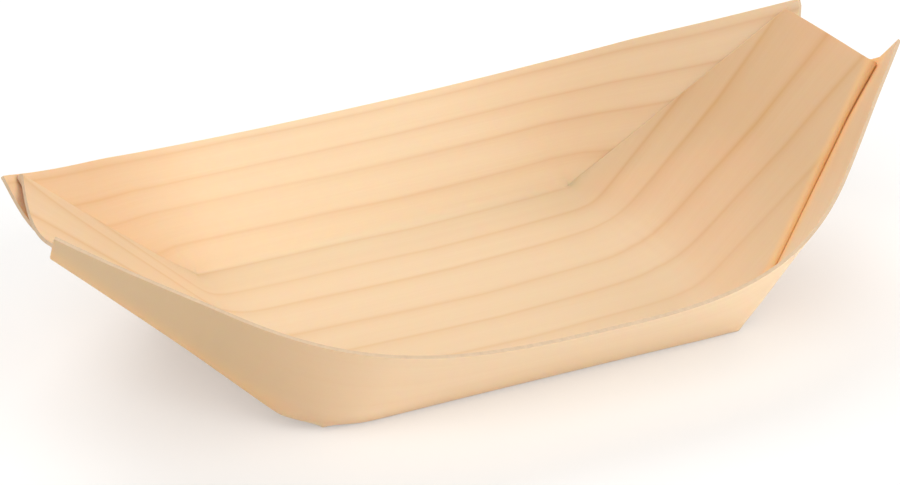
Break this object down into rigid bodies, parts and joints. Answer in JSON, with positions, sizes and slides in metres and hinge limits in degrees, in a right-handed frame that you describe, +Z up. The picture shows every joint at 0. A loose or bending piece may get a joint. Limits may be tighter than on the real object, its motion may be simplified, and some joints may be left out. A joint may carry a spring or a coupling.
{
  "type": "wooden snack boat",
  "caption": "Boat-shaped disposable snack dish folded from a sheet of thin wood veneer, with raised tapered ends and glued corner pleats.",
  "frame": {"origin": "on the table, under the middle of the boat's bounding box", "axes": "+X along the length and the wood grain, +Y across to the far side wall, +Z up"},
  "size_m": [0.1712, 0.1022, 0.0442],
  "materials": {
    "veneer": "raw, matt",
    "dried_glue": "satin"
  },
  "bodies": {
    "root": {"veneer_sheet": "veneer", "inner_glue_right_far": "dried_glue", "inner_glue_left_far": "dried_glue", "inner_glue_left_near": "dried_glue", "inner_glue_right_near": "dried_glue", "outer_glue_right_far": "dried_glue", "outer_glue_left_far": "dried_glue", "outer_glue_left_near": "dried_glue", "outer_glue_right_near": "dried_glue"}
  },
  "joints": []
}
